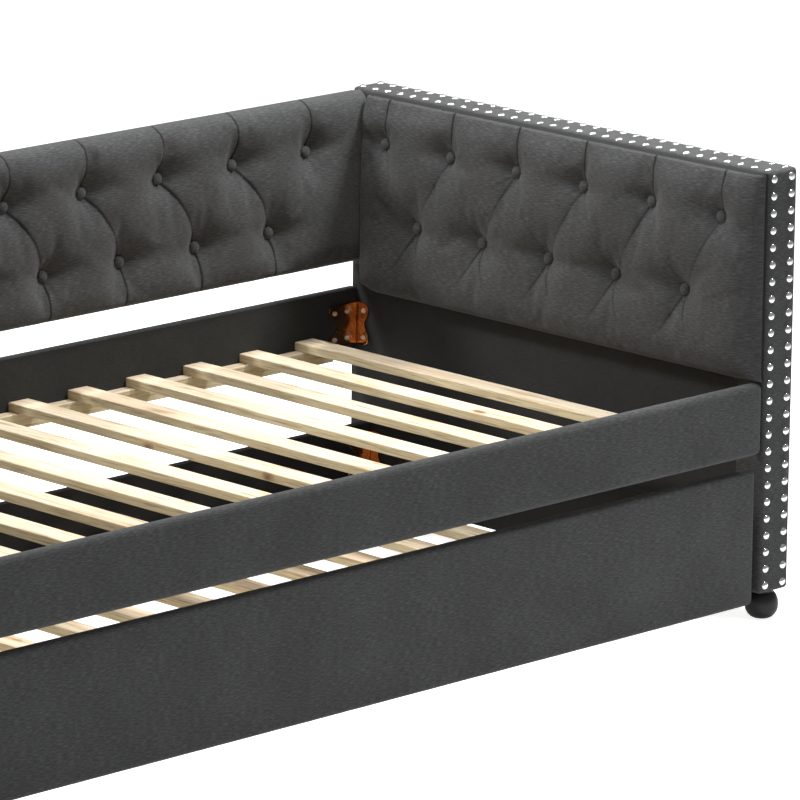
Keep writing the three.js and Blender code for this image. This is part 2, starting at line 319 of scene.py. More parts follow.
def add_node(tree, kind, inputs=None, **settings):
    """A shader node; kind leaves out the ShaderNode that all their types start with."""
    node = tree.nodes.new("ShaderNode" + kind)
    for key, value in settings.items():
        setattr(node, key, value)
    feed(tree, node, inputs or {})
    return node


def new_group(name, inputs, outputs):
    """A shader node group; inputs and outputs are {name: (socket type, default)}."""
    group = bpy.data.node_groups.new(name, "ShaderNodeTree")
    for way, sockets in (("INPUT", inputs), ("OUTPUT", outputs)):
        for label, (kind, value) in sockets.items():
            socket = group.interface.new_socket(name=label, in_out=way, socket_type=kind)
            if value is not None:
                socket.default_value = value
    given = group.nodes.new("NodeGroupInput").outputs
    result = group.nodes.new("NodeGroupOutput")
    return group, given, result


def maths(tree, operation, first, second=0.0):
    return add_node(tree, "Math", {0: first, 1: second}, operation=operation).outputs[0]


def ranged(tree, value, low, high, to_low=0.0, to_high=1.0):
    node = add_node(tree, "MapRange", {
        "Value": value, "From Min": low, "From Max": high, "To Min": to_low, "To Max": to_high})
    return node.outputs["Result"]


def mixed(tree, share, first, second, blend="MIX"):
    """Two colours mixed; the Mix node's colour sockets are its inputs 6 and 7 and its output 2."""
    node = add_node(tree, "Mix", data_type="RGBA", blend_type=blend)
    feed(tree, node, {0: share, 6: first, 7: second})
    return node.outputs[2]


def shaded(tree, colour, shade):
    """The colour times a grey."""
    grey = add_node(tree, "CombineColor", {0: shade, 1: shade, 2: shade}).outputs[0]
    return mixed(tree, 1.0, colour, grey, "MULTIPLY")


def bands(tree, vector, direction):
    """The cloth's threads, as bands across one direction."""
    wave = add_node(tree, "TexWave", {"Vector": vector, "Scale": 240.0, "Distortion": 0.6},
                    wave_type="BANDS", bands_direction=direction)
    return wave.outputs["Fac"]


def noise_at(tree, vector, scale, size=1.0, detail=2.0, rough=0.5, distortion=0.0):
    """Noise in coordinates stretched by scale."""
    stretched = add_node(tree, "VectorMath", {0: vector, 1: scale}, operation="MULTIPLY")
    texture = add_node(tree, "TexNoise", {
        "Vector": stretched.outputs[0], "Scale": size, "Detail": detail, "Roughness": rough,
        "Distortion": distortion})
    return texture.outputs["Fac"]


def make_weave_group():
    """Linen-look cloth: thick and thin threads both ways, with light flecks."""
    group, given, result = new_group(
        "linen_weave", {"Vector": PLACE, "Dark": COLOUR, "Light": COLOUR, "Flecks": NUMBER},
        {"Color": COLOUR, "Height": NUMBER})
    at = given["Vector"]
    warp = noise_at(group, at, (640, 120, 1), detail=2.5)
    weft = noise_at(group, at, (75, 600, 1), detail=2.5)
    slub = maths(group, "MAXIMUM", maths(group, "MULTIPLY", warp, 0.82), weft)
    fleck = ranged(group, slub, 0.42, 0.76)
    patch = noise_at(group, at, (7, 7, 1), detail=4.0, rough=0.65)
    patchy = ranged(group, patch, 0.3, 0.7, 0.86, 1.12)
    threads = maths(group, "ADD", bands(group, at, "X"), bands(group, at, "Y"))
    threads = maths(group, "MULTIPLY", threads, 0.5)
    share = maths(group, "MULTIPLY", fleck, given["Flecks"])
    tone = mixed(group, share, given["Dark"], given["Light"])
    shade = maths(group, "MULTIPLY", patchy, ranged(group, threads, 0.0, 1.0, 0.8, 1.15))
    feed(group, result, {
        "Color": shaded(group, tone, shade), "Height": maths(group, "ADD", threads, fleck)})
    return group


def knots(group, at):
    """How much of a knot, and of the darker wood round it, there is at each place."""
    stretched = add_node(group, "VectorMath", {0: at, 1: (13, 7, 13)}, operation="MULTIPLY")
    cells = add_node(group, "TexVoronoi", {"Vector": stretched.outputs[0], "Scale": 1.0})
    waver = maths(group, "MULTIPLY", noise_at(group, at, (90, 60, 90)), 0.08)
    edge = maths(group, "ADD", cells.outputs["Distance"], waver)
    return ranged(group, edge, 0.19, 0.12), ranged(group, edge, 0.36, 0.16, 0.0, 0.45)


def make_pine_group():
    """Softwood with its grain along Y: fibres, rings, knots, sawn sides darkened with painted shade and
    a tone that varies.
    """
    group, given, result = new_group("pine_grain", {
        "Vector": PLACE,
        "Pale": ("NodeSocketColor", (0.7, 0.615, 0.475, 1)),
        "Ring": ("NodeSocketColor", (0.5, 0.35, 0.19, 1)),
        "Knot": ("NodeSocketColor", (0.16, 0.07, 0.03, 1)),
        "Sawn": NUMBER,
    }, SURFACE)
    at = given["Vector"]
    fibre = noise_at(group, at, (260, 7, 260), detail=3.0)
    swell = noise_at(group, at, (16, 1.3, 26), detail=2.0, distortion=0.6)
    rings = maths(group, "SINE", maths(group, "MULTIPLY", swell, 62.0))
    ring_mask = ranged(group, rings, -0.2, 1.0, 0.0, 0.75)
    board_tone = ranged(group, noise_at(group, at, (9, 0.35, 9), detail=1.0), 0.32, 0.68, 0.82, 1.1)
    knot, halo = knots(group, at)
    wood = mixed(group, maths(group, "MULTIPLY", ring_mask, 0.6), given["Pale"], given["Ring"])
    wood = mixed(group, ranged(group, fibre, 0.42, 0.7, 0.0, 0.45), wood, given["Ring"])
    blush = ranged(group, noise_at(group, at, (6, 1.6, 6), detail=2.0), 0.42, 0.62, 0.0, 0.35)
    wood = mixed(group, blush, wood, PINE_BLUSH)
    dash = ranged(group, noise_at(group, at, (150, 9, 150), detail=2.5), 0.57, 0.68, 0.0, 0.7)
    wood = mixed(group, dash, wood, PINE_DASH)
    streak = ranged(group, noise_at(group, at, (150, 14, 420), detail=3.0), 0.5, 0.68)
    # faces that look sideways: sawn streaks over a darker tone that is painted shade
    sawn_side_shaded = mixed(group, maths(group, "MULTIPLY", streak, 0.75), SAWN_SIDE_SHADED, SAWN_DARK)
    wood = mixed(group, maths(group, "MULTIPLY", given["Sawn"], 0.7), wood, sawn_side_shaded)
    wood = mixed(group, halo, wood, given["Ring"])
    wood = mixed(group, maths(group, "MULTIPLY", knot, 0.85), wood, given["Knot"])
    feed(group, result, {
        "Color": shaded(group, wood, board_tone),
        "Roughness": ranged(group, fibre, 0.2, 0.8, 0.5, 0.72),
        "Height": maths(group, "ADD", fibre, maths(group, "MULTIPLY", ring_mask, 0.4))})
    return group


def make_wear_group():
    """Handling marks: fine scratches and smudges that change a finish's roughness and tone."""
    group, given, result = new_group("handling_marks", {
        "Vector": PLACE, "Clean": COLOUR, "Worn": COLOUR, "Smooth": NUMBER, "Rough": NUMBER,
    }, SURFACE)
    at = given["Vector"]
    smudge = noise_at(group, at, (60, 60, 60), detail=4.0, rough=0.7)
    scratch = noise_at(group, at, (900, 90, 300), detail=2.0)
    marks = ranged(group, maths(group, "MULTIPLY", smudge, scratch), 0.18, 0.42)
    added = maths(group, "SUBTRACT", given["Rough"], given["Smooth"])
    roughness = maths(group, "ADD", given["Smooth"], maths(group, "MULTIPLY", marks, added))
    feed(group, result, {
        "Color": mixed(group, marks, given["Clean"], given["Worn"]),
        "Roughness": roughness, "Height": marks})
    return group


WEAVE = make_weave_group()
PINE_GRAIN = make_pine_group()
WEAR = make_wear_group()


# -------- finishes


def new_finish(name, **plain):
    """A material with its Principled shader's plain values set."""
    finish = bpy.data.materials.new(name)
    finish.use_nodes = True
    tree = finish.node_tree
    surface = tree.nodes["Principled BSDF"]
    feed(tree, surface, {key.replace("_", " "): value for key, value in plain.items()})
    return finish, tree, surface


def use_group(tree, group, vector, **values):
    node = add_node(tree, "Group", node_tree=group)
    feed(tree, node, {"Vector": vector, **values})
    return node.outputs


def bump(tree, surface, height, strength, distance):
    relief = {"Height": height, "Strength": strength, "Distance": distance}
    node = add_node(tree, "Bump", relief)
    feed(tree, surface, {"Normal": node.outputs["Normal"]})


def cloth_finish(name, dark, light, flecks, sheen, shaded_pleats=False):
    """Woven cloth on the piece's cloth map; on a pleated piece, shade is painted along its pleats'
    bottoms and its seams.
    """
    finish, tree, surface = new_finish(
        name, Roughness=0.92, Sheen_Weight=sheen, Sheen_Roughness=0.5, Specular_IOR_Level=0.25)
    at = add_node(tree, "UVMap", uv_map="cloth").outputs["UV"]
    woven = use_group(tree, WEAVE, at, Dark=dark, Light=light, Flecks=flecks)
    colour = woven["Color"]
    if shaded_pleats:
        # painted shade: the pad's attribute darkens the cloth towards black in pleat bottoms and seams
        crease_shade = add_node(tree, "Attribute", attribute_name="crease_shade").outputs["Fac"]
        colour = mixed(tree, crease_shade, colour, CREASE_SHADE_BLACK)
    feed(tree, surface, {"Base Color": colour})
    bump(tree, surface, woven["Height"], 0.35, 0.0006)
    return finish


def pine_finish(name, along_x):
    """Softwood, planed on the faces that look up or down and rough sawn on the others, which also get a
    darker tone of painted shade.
    """
    finish, tree, surface = new_finish(name, Specular_IOR_Level=0.35)
    places = add_node(tree, "TexCoord").outputs
    turn = (0, 0, math.pi / 2) if along_x else (0, 0, 0)
    mapping = {"Vector": places["Object"], "Rotation": turn}
    at = add_node(tree, "Mapping", mapping).outputs["Vector"]
    level = add_node(tree, "SeparateXYZ", {0: places["Normal"]}).outputs["Z"]
    # faces that look sideways get the sawn colour, darkened by painted shade
    sawn_and_shaded = ranged(tree, maths(tree, "ABSOLUTE", level), 0.75, 0.4)
    grain = use_group(tree, PINE_GRAIN, at, Sawn=sawn_and_shaded)
    feed(tree, surface, {"Base Color": grain["Color"], "Roughness": grain["Roughness"]})
    bump(tree, surface, grain["Height"], 0.3, 0.0006)
    return finish


def worn_finish(name, clean, worn, smooth, rough, metallic=0.0, **plain):
    """A metal, lacquer or plastic with handling marks."""
    finish, tree, surface = new_finish(name, Metallic=metallic, **plain)
    at = add_node(tree, "TexCoord").outputs["Object"]
    marks = use_group(tree, WEAR, at, Clean=clean, Worn=worn, Smooth=smooth, Rough=rough)
    feed(tree, surface, {"Base Color": marks["Color"], "Roughness": marks["Roughness"]})
    bump(tree, surface, marks["Height"], 0.08, 0.0003)
    return finish


CHARCOAL_DARK = (0.0345, 0.035, 0.0355, 1)
CHARCOAL_LIGHT = (0.091, 0.0935, 0.0945, 1)
# the colour of the shade painted into pleat bottoms and seams
CREASE_SHADE_BLACK = (0.006, 0.006, 0.0065, 1)

CHARCOAL = cloth_finish("charcoal_linen", CHARCOAL_DARK, CHARCOAL_LIGHT, 0.8, 0.08)
PLEATED_SHADED = cloth_finish(
    "charcoal_linen_tufted_shaded", CHARCOAL_DARK, CHARCOAL_LIGHT, 0.8, 0.08, shaded_pleats=True)
DUST_CLOTH = cloth_finish(
    "black_dust_cloth", (0.024, 0.024, 0.023, 1), (0.045, 0.045, 0.043, 1), 0.5, 0.02)
SLAT_PINE = pine_finish("pine_across_the_bed", along_x=False)
CLEAT_PINE = pine_finish("pine_along_the_bed", along_x=True)
BLACK_BOARD = worn_finish(
    "black_wrapped_board", (0.006, 0.006, 0.0065, 1), (0.011, 0.011, 0.011, 1), 0.6, 0.85,
    Specular_IOR_Level=0.2)
NICKEL = worn_finish(
    "nickel_nail_head", (0.86, 0.86, 0.87, 1), (0.6, 0.6, 0.61, 1), 0.06, 0.2, 1.0)
SCREW_ZINC = worn_finish(
    "bright_zinc", (0.95, 0.95, 0.96, 1), (0.8, 0.8, 0.8, 1), 0.3, 0.5, 1.0)
COPPER_BROWN = worn_finish(
    "copper_brown_plate", (0.6, 0.31, 0.15, 1), (0.46, 0.23, 0.11, 1), 0.14, 0.28, 1.0)
CASTER_STEEL = worn_finish(
    "pressed_steel", (0.5, 0.5, 0.52, 1), (0.3, 0.3, 0.31, 1), 0.3, 0.5, 1.0)
FOOT_LACQUER = worn_finish(
    "black_lacquer", (0.008, 0.008, 0.008, 1), (0.014, 0.013, 0.012, 1), 0.4, 0.6,
    Specular_IOR_Level=0.3, Coat_Weight=0.06, Coat_Roughness=0.25)
BLACK_NYLON = worn_finish(
    "black_nylon", (0.016, 0.016, 0.017, 1), (0.035, 0.035, 0.036, 1), 0.4, 0.62)


# -------- upholstered boards

CROWN = 2 * MM  # how far the foam swells a board's wide faces
CROWN_FALL = 30 * MM  # how soon the crown fades towards a face's edges
UNEVEN = 0.5 * MM
BORDER_STAND = 4 * MM  # the arm's cover lies this far inside its nail border
LINER_START = 66 * MM  # dust cloth starts this far behind an arm's front face
LINED_ABOVE = 45 * MM  # and goes on this far behind the foot of the arm's pad
LINER_CUTS = 12


def swell(piece, low, high, edge, faces, crown=CROWN):
    """Crowns the chosen faces, each ("x" or "y" or "z", side), and makes the cloth slightly uneven."""
    middle = (Vector(low) + Vector(high)) / 2
    half = (Vector(high) - Vector(low)) / 2
    for vertex in piece.data.vertices:
        share = [(vertex.co[i] - middle[i]) / half[i] for i in range(3)]
        for letter, side in faces:
            axis = "xyz".index(letter)
            if share[axis] * side < 0.999:
                continue
            fall = 1.0
            for other in {0, 1, 2} - {axis}:
                reach = max(0, (1 - abs(share[other])) * half[other] - edge)
                fall *= 1 - math.exp(-reach / CROWN_FALL)
            waver = noise.noise(vertex.co * 9.0) * UNEVEN
            vertex.co[axis] += side * fall * (crown + waver)


def upholstered(name, low, high, edge, faces, body, replaced, crown=CROWN):
    """A board wrapped in foam and cloth, with its edges rounded to the given radius."""
    edge = min(edge, 0.48 * min(Vector(high) - Vector(low)))
    piece = block(name, low, high)
    round_edges(piece, edge)
    cut_long_edges(piece)
    swell(piece, low, high, edge, faces, crown)
    lay_cloth(piece)
    dress(piece, CHARCOAL, body, 60)
    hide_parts(*replaced)
    return piece


def line_with_dust_cloth(piece, wanted):
    """Dust cloth in place of linen on the faces whose middle and normal pass the test."""
    piece.data.materials.append(DUST_CLOTH)
    for face in piece.data.polygons:
        if wanted(face.center, face.normal):
            face.material_index = 1


def cover_arm(side, sign):
    """The arm's cover, and where its front and top faces are, which carry the nails."""
    low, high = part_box(f"{side}_arm")
    border_low, border_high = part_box(f"{side}_arm_border")
    front = border_low.y + BORDER_STAND
    top = border_high.z - BORDER_STAND
    piece = upholstered(f"{side}_arm_cover", (low.x, front, low.z), (high.x, high.y, top), 8 * MM,
                        [("x", sign), ("y", 1)], "daybed", [f"{side}_arm"])
    lined_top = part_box(f"{side}_arm_pad")[0].z + LINED_ABOVE

    def is_lined(centre, normal):
        faces_in = normal.x * sign < -0.9
        return faces_in and centre.y > front + LINER_START and centre.z < lined_top

    line_with_dust_cloth(piece, is_lined)
    return piece, front, top


def dust_liner(name, low, high, body):
    """A thin sheet stapled flat to the inside of an arm or panel."""
    piece = block(name, low, high, LINER_CUTS)
    for vertex in piece.data.vertices:
        vertex.co.z += 0.6 * MM * noise.noise(vertex.co * 11.0)
    lay_cloth(piece)
    dress(piece, DUST_CLOTH, body)


NAIL_RADIUS = 7.7 * MM
NAIL_HEIGHT = 3.9 * MM
NAIL_ROWS = (14.5 * MM, 60.5 * MM)
NAILS_FRONT = 25
NAILS_TOP = 32
NAIL_MARGIN = 15 * MM


def nail_head():
    """A domed nail head on the XY plane, with a closed base."""
    bpy.ops.mesh.primitive_uv_sphere_add(segments=12, ring_count=8, radius=NAIL_RADIUS)
    nail = rename(bpy.context.object, "nail")
    edit(nail, all_selected, lambda: bpy.ops.mesh.bisect(
        plane_co=(0, 0, 0.3 * MM), plane_no=(0, 0, 1), clear_inner=True, use_fill=True))
    nail.scale = (1, 1, NAIL_HEIGHT / NAIL_RADIUS)
    nail.location = (0, 0, -0.15 * MM)
    return settle(nail)


def even_row(start, end, count):
    """Places from start to end, a nail's margin in from both."""
    length = end - start - 2 * NAIL_MARGIN
    return [start + NAIL_MARGIN + i * length / (count - 1) for i in range(count)]


def drive_nails(side, sign, front, top):
    low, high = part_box(f"{side}_arm")
    places = []
    for row in NAIL_ROWS:
        x = inner_x((low, high), sign) + sign * row
        for z in even_row(low.z, top, NAILS_FRONT):
            places.append(((x, front, z), facing((0, -1, 0))))
        for y in even_row(front, high.y, NAILS_TOP):
            places.append(((x, y, top), facing((0, 0, 1))))
    nails = spread(f"{side}_arm_nails", nail_head(), places)
    dress(nails, NICKEL, "daybed")
    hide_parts(f"{side}_arm_border")


def build_arms():
    for side, sign in SIDES.items():
        cover, front, top = cover_arm(side, sign)
        drive_nails(side, sign, front, top)
        low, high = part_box(f"{side}_arm")
        face = inner_x((low, high), sign)
        inner, outer = sorted((face - sign * 0.24 * MM, face - sign * 0.06 * MM))
        pad_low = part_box(f"{side}_arm_pad")[0]
        dust_liner(f"{side}_arm_liner", (inner, front + LINER_START, low.z + 8 * MM),
                   (outer, high.y - 4 * MM, pad_low.z - 6 * MM), "daybed")


def build_board(name, node, body, edge, outside, crown=CROWN):
    """A rail or panel with linen outside and dust cloth inside; outside is -1 if it faces the front."""
    low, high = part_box(node)
    board = upholstered(name, low, high, edge, [("y", outside)], body, [node], crown)
    line_with_dust_cloth(board, lambda centre, normal: normal.y * outside < -0.9)


def build_panels():
    low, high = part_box("back_panel")
    high.z -= 5 * MM
    upholstered("back_panel_cover", low, high, 9 * MM, [("y", 1)], "daybed", ["back_panel"])
    build_board("front_rail_cover", "front_rail", "daybed", 14 * MM, -1, 3 * MM)
    build_board("back_rail_cover", "back_rail", "daybed", 5 * MM, 1)
    build_board("trundle_panel_cover", "trundle_front_panel", "trundle", 12 * MM, -1)


# -------- tufted pads

PAD_STEP = 12 * MM
ROLL_STEPS = 5
SIM_FRAMES = 18
PAD_CLOTH = {
    "quality": 6, "mass": 0.3, "tension_stiffness": 12, "compression_stiffness": 12,
    "shear_stiffness": 4, "bending_stiffness": 0.35, "shrink_min": -0.03, "pin_stiffness": 2,
    "use_pressure": True, "uniform_pressure_force": 5, "vertex_group_mass": "held",
}
LEDGE = 8 * MM  # a shallow hollow beside and above each button
LEDGE_AT = (24 * MM, 9 * MM)
LEDGE_REACH = (34 * MM, 17 * MM)
SINK = 4 * MM  # the flat sheet starts this much lower than the stuffed pad
SWELL_CAP = 9 * MM
TAPER_LENGTH = 80 * MM
TAPER_SHARE = 0.5
CORNER_RADIUS = 34 * MM
BUTTON_RADIUS = 12 * MM
BUTTON_STAND = 5 * MM
CREASE_SHADE_STRENGTH = 1.9  # above one, so that the painted shade line keeps its width between points
DIMPLE_REACH = 25 * MM
DIMPLE_FLOOR = 7 * MM  # radius of its flat bottom
CREASE_WIDTH = 1.6 * MM
VALLEY_WIDTH = 15 * MM
LAP_TURN = 3 * MM  # how soon one side of a pleat stands over the other
LAP_WIDTH = 12 * MM
# widths of the shade painted along a tapered pad's top and front seams
TOP_SEAM = 3 * MM
FRONT_SEAM = 1 * MM
HALF_CELL = PAD_STEP / 8  # half the pad's final mesh spacing


class Pad:
    """A tufted pad on a flat backing: u runs along it, v up it and w out of the backing."""

    def __init__(self, length, height, depth, rolls, edge_pinch, tapered=False):
        self.length = length
        self.height = height
        self.depth = depth
        self.rolls = rolls  # rounding at its start, end, bottom and top
        self.edge_pinch = edge_pinch  # how deep its pleats still are at its edges
        self.tapered = tapered  # thinner towards its top and its start, with shade painted along a seam there
        self.buttons = []
        self.pleats = []

    def add_row(self, places, v):
        self.buttons += [(u, v) for u in places]

    def add_pleat(self, start, end, bow, depth, fade, crispness_and_shade=1.0):
        """A pleat from start to end, bowed sideways; fade is its depth at the end over its start's.

        The last argument sets how sharp its bottom is and how dark the shade painted along it is: a
        soft valley has neither.
        """
        start, end = np.array(start), np.array(end)
        run = end - start
        side = np.array((-run[1], run[0])) * bow
        t = np.linspace(0, 1, 9)[:, None]
        line = start + run * t + side * 4 * t * (1 - t)
        self.pleats.append((line, depth, fade, crispness_and_shade))

    def add_diagonals(self, button, pitch, lower, lower_v, fade, ways):
        """Pleats from an upper button to those below; ways lists (side, depth, sharpness and painted
        shade, bow).
        """
        for side, depth, crispness_and_shade, bow in ways:
            end = button[0] + side * pitch / 2
            if lower[0] - 1e-6 < end < lower[-1] + 1e-6:
                self.add_pleat(button, (end, lower_v), bow, depth, fade, crispness_and_shade)


def roll_places(length, start, end):
    """Grid lines over a length: close together over the rounded ends, even between them."""
    angles = [math.pi / 2 * i / ROLL_STEPS for i in range(ROLL_STEPS)]
    first = [start * (1 - math.cos(angle)) for angle in angles]
    last = [length - end * (1 - math.cos(angle)) for angle in angles][::-1]
    count = max(2, round((length - start - end) / PAD_STEP))
    middle = [start + (length - start - end) * i / count for i in range(count + 1)]
    return np.array(first + middle + last)


def roll_height(place, length, start, end):
    """How high the rounded ends let the pad stand, from 0 to 1."""
    from_start = np.clip(1 - place / start, 0, 1)
    from_end = np.clip(1 - (length - place) / end, 0, 1)
    return np.sqrt(1 - from_start ** 2) * np.sqrt(1 - from_end ** 2)


def round_corner(u, v, pad):
    """Draws the grid in at the pad's lower end corner, so that its outline is rounded there."""
    a = np.clip((u - pad.length) / CORNER_RADIUS + 1, 0, None)
    b = np.clip(1 - v / CORNER_RADIUS, 0, None)
    reach = np.hypot(a, b)
    pull = np.where((a > 0) & (b > 0), np.maximum(a, b) / np.maximum(reach, 1e-9), 1)
    return u - a * (1 - pull) * CORNER_RADIUS, v + b * (1 - pull) * CORNER_RADIUS


def pad_sheet(name, pad, dimple):
    """The pad's front as a grid of faces, already dimpled at its buttons."""
    start, end, bottom, top = pad.rolls
    us = roll_places(pad.length, start, end)
    vs = roll_places(pad.height, bottom, top)
    u, v = np.meshgrid(us, vs, indexing="ij")
    w = (pad.depth - SINK) * roll_height(u, pad.length, start, end)
    w = w * roll_height(v, pad.height, bottom, top)
    if pad.tapered:
        w *= 1 - TAPER_SHARE * np.clip(1 - (pad.height - v) / TAPER_LENGTH, 0, 1) ** 2
        w *= 1 - TAPER_SHARE * np.clip(1 - u / TAPER_LENGTH, 0, 1) ** 2
        u, v = round_corner(u, v, pad)
    for bu, bv in pad.buttons:
        away = np.clip(np.hypot(u - bu, v - bv) - DIMPLE_FLOOR, 0, None)
        w -= dimple / (1 + (away / DIMPLE_REACH) ** 2) ** 1.3
        across = (u - bu - LEDGE_AT[0]) / LEDGE_REACH[0]
        above = (v - bv - LEDGE_AT[1]) / LEDGE_REACH[1]
        w -= LEDGE * np.exp(-across ** 2 - above ** 2)
    points = np.stack([u, v, np.maximum(w, 0)], -1).reshape(-1, 3)
    rows = len(vs)
    corners = [i * rows + j for i in range(len(us) - 1) for j in range(rows - 1)]
    faces = [(a, a + rows, a + rows + 1, a + 1) for a in corners]
    mesh = bpy.data.meshes.new(name)
    mesh.from_pydata(points.tolist(), [], faces)
    return add_piece(name, mesh), len(us), rows


def read_points(piece):
    points = np.empty(len(piece.data.vertices) * 3)
    piece.data.vertices.foreach_get("co", points)
    return points.reshape(-1, 3)


def write_points(piece, points):
    piece.data.vertices.foreach_set("co", points.ravel())
    piece.data.update()


def line_distance(points, line):
    """Signed distance from points to a line, how far along it they meet it, and where."""
    best = np.full(len(points), 1e9)
    signed = np.zeros(len(points))
    share = np.zeros(len(points))
    met = np.zeros((len(points), 2))
    for i in range(len(line) - 1):
        run = line[i + 1] - line[i]
        t = np.clip(((points - line[i]) @ run) / (run @ run), 0, 1)
        foot = line[i] + t[:, None] * run
        away = points - foot
        distance = np.hypot(away[:, 0], away[:, 1])
        side = np.sign(run[0] * away[:, 1] - run[1] * away[:, 0])
        closer = distance < best
        best[closer] = distance[closer]
        signed[closer] = (distance * side)[closer]
        share[closer] = ((i + t) / (len(line) - 1))[closer]
        met[closer] = foot[closer]
    return signed, share, met


def held_shares(flat, pad, columns, rows):
    """How firmly each point is held: fully at the edges and buttons, lightly at the pleats."""
    held = np.zeros(len(flat))
    grid = held.reshape(columns, rows)
    grid[:2] = grid[-2:] = 1
    grid[:, :2] = 1
    grid[:, -2:] = 1
    for line, depth, _fade, _crispness_and_shade in pad.pleats:
        signed = line_distance(flat, line)[0]
        held = np.maximum(held, 60 * depth * np.exp(-(signed / (9 * MM)) ** 2))
    for button in pad.buttons:
        distance = np.hypot(*(flat - button).T)
        held[distance < 15 * MM] = 1
    return held


def blow_up(piece):
    """Swells the sheet with cloth simulation, under a light pressure from behind."""
    take_up(piece)
    cloth = piece.modifiers.new("cloth", "CLOTH")
    for key, value in PAD_CLOTH.items():
        setattr(cloth.settings, key, value)
    cloth.settings.effector_weights.gravity = 0
    cloth.point_cache.frame_start = 1
    cloth.point_cache.frame_end = SIM_FRAMES
    for step in range(1, SIM_FRAMES + 1):
        bpy.context.scene.frame_set(step)
    bpy.ops.object.modifier_apply(modifier="cloth")
    bpy.context.scene.frame_set(1)


def stuff(piece, pad, columns, rows):
    """Swells the sheet between the places where it is held, by no more than the cap."""
    points = read_points(piece)
    flat = points[:, :2]
    group = piece.vertex_groups.new(name="held")
    for index, weight in enumerate(held_shares(flat, pad, columns, rows)):
        if weight > 0.01:
            group.add([index], float(weight), "REPLACE")
    blow_up(piece)
    moved = read_points(piece) - points
    reach = np.linalg.norm(moved, axis=1, keepdims=True)
    moved *= SWELL_CAP * np.tanh(reach / SWELL_CAP) / np.maximum(reach, 1e-9)
    u, v = flat.T
    from_edge = np.minimum.reduce([u, pad.length - u, v, pad.height - v])
    moved *= np.clip(from_edge / (40 * MM), 0.1, 1)[:, None]
    write_points(piece, points + moved)
    piece.vertex_groups.clear()


def snap_to_line(points, near, line, signed, share, met):
    """Moves the points nearest to a pleat's line onto it, so that its bottom is sharp."""
    run = np.abs(line[-1] - line[0])
    snapped = np.abs(signed) < HALF_CELL * run.sum() / np.hypot(*run)
    snapped &= (share > 0.001) & (share < 0.999)
    points[near[snapped], :2] = met[snapped]
    signed[snapped] = 0


def fold(points, flat, crease_shade, pad, pleat):
    """Folds one pleat in, with one side standing over the other, and paints shade along its bottom."""
    line, depth, fade, crispness_and_shade = pleat
    low = line.min(0) - 40 * MM
    high = line.max(0) + 40 * MM
    near = np.flatnonzero(np.all((flat > low) & (flat < high), axis=1))
    if not len(near):
        return
    signed, share, met = line_distance(flat[near], line)
    if crispness_and_shade > 0:
        snap_to_line(points, near, line, signed, share, met)
    strength = np.interp(share, (0, 0.35, 0.6, 1), (1, 0.75, 0.45, fade))
    strength *= np.clip((1 - share) * 6, 0, 1) if fade < 0.2 else 1
    narrow = np.exp(-(signed / CREASE_WIDTH) ** 2) * crispness_and_shade
    valley = 0.65 * np.exp(-(signed / VALLEY_WIDTH) ** 2) + 0.35 * narrow
    lap = 0.15 * crispness_and_shade * np.tanh(signed / LAP_TURN) * np.exp(-(signed / LAP_WIDTH) ** 2)
    stand = np.clip(points[near, 2] / pad.depth * 2, 0, 1)
    stand *= np.interp(pad.height - flat[near, 1], (0, 35 * MM), (pad.edge_pinch, 1))
    stand *= np.interp(flat[near, 1], (0, 30 * MM), (pad.edge_pinch, 1))
    points[near, 2] -= depth * strength * (valley - lap) * stand
    # painted shade along the pleat's bottom, standing in for the darkness in its fold
    shade = CREASE_SHADE_STRENGTH * narrow * np.clip(strength * 1.3, 0, 1)
    crease_shade[near] = np.maximum(crease_shade[near], shade)


def ripple_round_buttons(points, flat, buttons):
    """Small gathers in the cloth round each button."""
    for index, (bu, bv) in enumerate(buttons):
        du, dv = flat[:, 0] - bu, flat[:, 1] - bv
        distance = np.hypot(du, dv)
        angle = np.arctan2(dv, du)
        ripple = np.cos(9 * angle + index * 1.7) * 0.6 + np.cos(14 * angle + index * 2.9) * 0.4
        fall = np.exp(-(distance - 16 * MM).clip(0) / (17 * MM)) * (distance > 8 * MM)
        points[:, 2] += 0.9 * MM * ripple * fall


def press_pleats(piece, pad):
    """Folds the pleats in, gathers the cloth at the buttons, and paints shade along the pleats' bottoms
    and the seams.
    """
    points = read_points(piece)
    flat = points[:, :2]
    crease_shade = np.zeros(len(points))
    for pleat in pad.pleats:
        fold(points, flat, crease_shade, pad, pleat)
    ripple_round_buttons(points, flat, pad.buttons)
    # painted shade in a thin line along a tapered pad's top and front seams
    if pad.tapered:
        top_seam = flat[:, 1] > pad.height - TOP_SEAM
        front_seam = flat[:, 0] < FRONT_SEAM
        crease_shade[top_seam | front_seam] = 1
    points[:, 2] = np.maximum(points[:, 2], 0)
    write_points(piece, points)
    shade_attribute = piece.data.attributes.new("crease_shade", "FLOAT", "POINT")
    shade_attribute.data.foreach_set("value", crease_shade.astype(np.float32))


def close_back(piece):
    """One flat face over the pad's open back."""
    only_boundary = {"extend": False, "use_wire": False, "use_boundary": True, "use_verts": False,
                     "use_multi_face": False, "use_non_contiguous": False}
    select_nothing(piece, "VERT")
    edit(piece,
         lambda: bpy.ops.mesh.select_non_manifold(**only_boundary),
         bpy.ops.mesh.edge_face_add)


def button_head():
    """A covered button: a crowned top with its cloth tucked under a rounded rim."""
    profile = [(0, 6.4), (4, 6.1), (7.6, 5.0), (10.4, 3.2), (12.1, 1.0), (12.3, -0.8), (11.4, -2.4),
               (9, -3.4), (0, -3.8)]
    widest = max(radius for radius, _height in profile)
    scale = BUTTON_RADIUS / MM / widest
    return turned("button", [(radius * scale, height) for radius, height in profile], 20)


